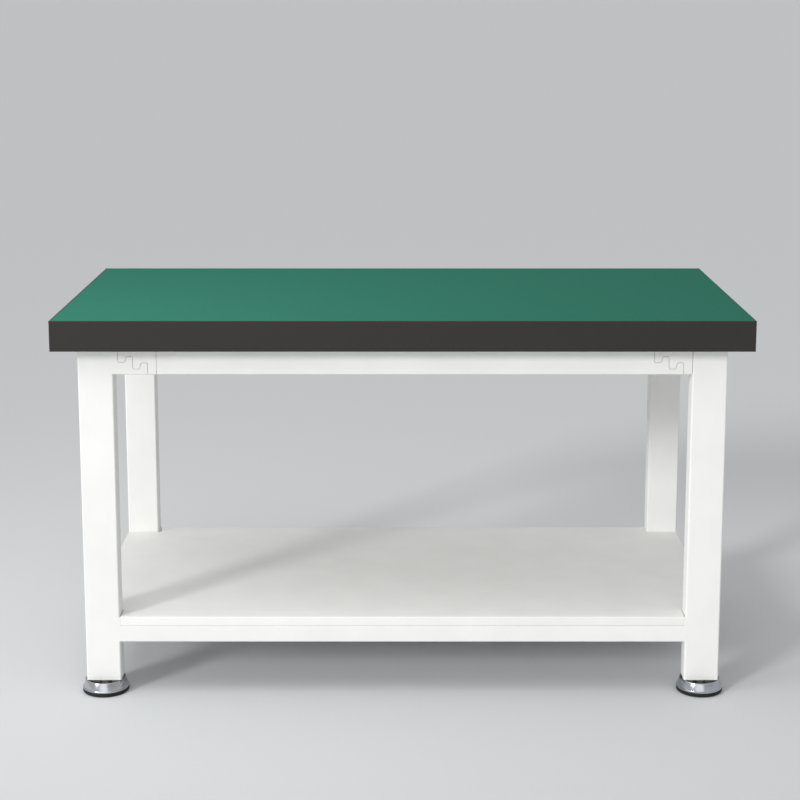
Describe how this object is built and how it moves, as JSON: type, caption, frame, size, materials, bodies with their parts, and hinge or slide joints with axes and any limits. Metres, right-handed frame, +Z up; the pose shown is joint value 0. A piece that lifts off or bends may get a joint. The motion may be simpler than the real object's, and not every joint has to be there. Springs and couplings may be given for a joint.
{
  "type": "anti-static workbench",
  "caption": "Rectangular workbench with a green static-dissipative top, a white steel tube frame joined by toothed hooks, a full lower shelf and screw-adjusted levelling feet.",
  "frame": {"origin": "on the floor under the middle of the bench, midway between the worktop's front edge and the backs of the rear feet", "axes": "+X along the bench to the user's right, +Y away from the user, +Z up"},
  "size_m": [1.5, 0.764, 0.85],
  "materials": {
    "mat": "matt green static-dissipative rubber",
    "edge": "dark warm grey edge band",
    "board": "pressed wood board",
    "backing": "pale balancing laminate",
    "frame": "white powder coat",
    "steel": "zinc plated",
    "chrome": "polished chrome",
    "rubber": "matt black rubber",
    "brass": "plain brass"
  },
  "bodies": {
    "frame": {"green_mat": "mat", "worktop_board": "board", "worktop_backing": "backing", "edge_band_front": "edge", "edge_band_rear": "edge", "edge_band_left": "edge", "edge_band_right": "edge", "leg_front_left": "frame", "leg_front_right": "frame", "leg_rear_left": "frame", "leg_rear_right": "frame", "front_beam": "frame", "rear_beam": "frame", "front_left_socket": "frame", "front_left_hook": "frame", "front_right_hook": "frame", "rear_left_socket": "frame", "rear_left_hook": "frame", "rear_right_hook": "frame", "upper_rail_left": "frame", "upper_rail_right": "frame", "lower_rail_left": "frame", "lower_rail_right": "frame", "lower_rail_front": "frame", "lower_rail_rear": "frame", "shelf_panel": "frame", "shelf_rib_left": "frame", "shelf_rib_right": "frame", "foot_plate_front_left": "steel", "foot_plate_front_right": "steel", "foot_plate_rear_left": "steel", "foot_plate_rear_right": "steel", "front_beam_screw_left": "steel", "front_beam_screw_right": "steel", "rear_beam_screw_left": "steel", "rear_beam_screw_right": "steel", "left_rail_screw_front": "steel", "left_rail_screw_rear": "steel", "right_rail_screw_front": "steel", "right_rail_screw_rear": "steel", "ground_stud": "brass", "ground_washer": "brass", "ground_nut": "brass"},
    "base_front_left": {"foot_cup_front_left": "chrome", "foot_pad_front_left": "rubber"},
    "base_front_right": {"foot_cup_front_right": "chrome", "foot_pad_front_right": "rubber"},
    "base_rear_left": {"foot_cup_rear_left": "chrome", "foot_pad_rear_left": "rubber"},
    "base_rear_right": {"foot_cup_rear_right": "chrome", "foot_pad_rear_right": "rubber"},
    "stem_front_left": {"foot_stem_front_left": "steel"},
    "stem_front_right": {"foot_stem_front_right": "steel"},
    "stem_rear_left": {"foot_stem_rear_left": "steel"},
    "stem_rear_right": {"foot_stem_rear_right": "steel"}
  },
  "joints": [
    {"name": "lift_front_left", "type": "slide", "parent": "frame", "child": "base_front_left", "axis": [0, 0, -1], "range_m": [0, 0.03]},
    {"name": "lift_front_right", "type": "slide", "parent": "frame", "child": "base_front_right", "axis": [0, 0, -1], "range_m": [0, 0.03]},
    {"name": "lift_rear_left", "type": "slide", "parent": "frame", "child": "base_rear_left", "axis": [0, 0, -1], "range_m": [0, 0.03]},
    {"name": "lift_rear_right", "type": "slide", "parent": "frame", "child": "base_rear_right", "axis": [0, 0, -1], "range_m": [0, 0.03]},
    {"name": "turn_front_left", "type": "hinge", "parent": "base_front_left", "child": "stem_front_left", "pos_m": [-0.66275, -0.309, 0.024], "axis": [0, 0, -1], "range_deg": [0, 5400]},
    {"name": "turn_front_right", "type": "hinge", "parent": "base_front_right", "child": "stem_front_right", "pos_m": [0.66275, -0.309, 0.024], "axis": [0, 0, -1], "range_deg": [0, 5400]},
    {"name": "turn_rear_left", "type": "hinge", "parent": "base_rear_left", "child": "stem_rear_left", "pos_m": [-0.66275, 0.331, 0.024], "axis": [0, 0, -1], "range_deg": [0, 5400]},
    {"name": "turn_rear_right", "type": "hinge", "parent": "base_rear_right", "child": "stem_rear_right", "pos_m": [0.66275, 0.331, 0.024], "axis": [0, 0, -1], "range_deg": [0, 5400]}
  ],
  "couplings": [
    {"joint": "turn_front_left", "follows": "lift_front_left", "rad_per_m": 3141.6},
    {"joint": "turn_front_right", "follows": "lift_front_right", "rad_per_m": 3141.6},
    {"joint": "turn_rear_left", "follows": "lift_rear_left", "rad_per_m": 3141.6},
    {"joint": "turn_rear_right", "follows": "lift_rear_right", "rad_per_m": 3141.6}
  ]
}
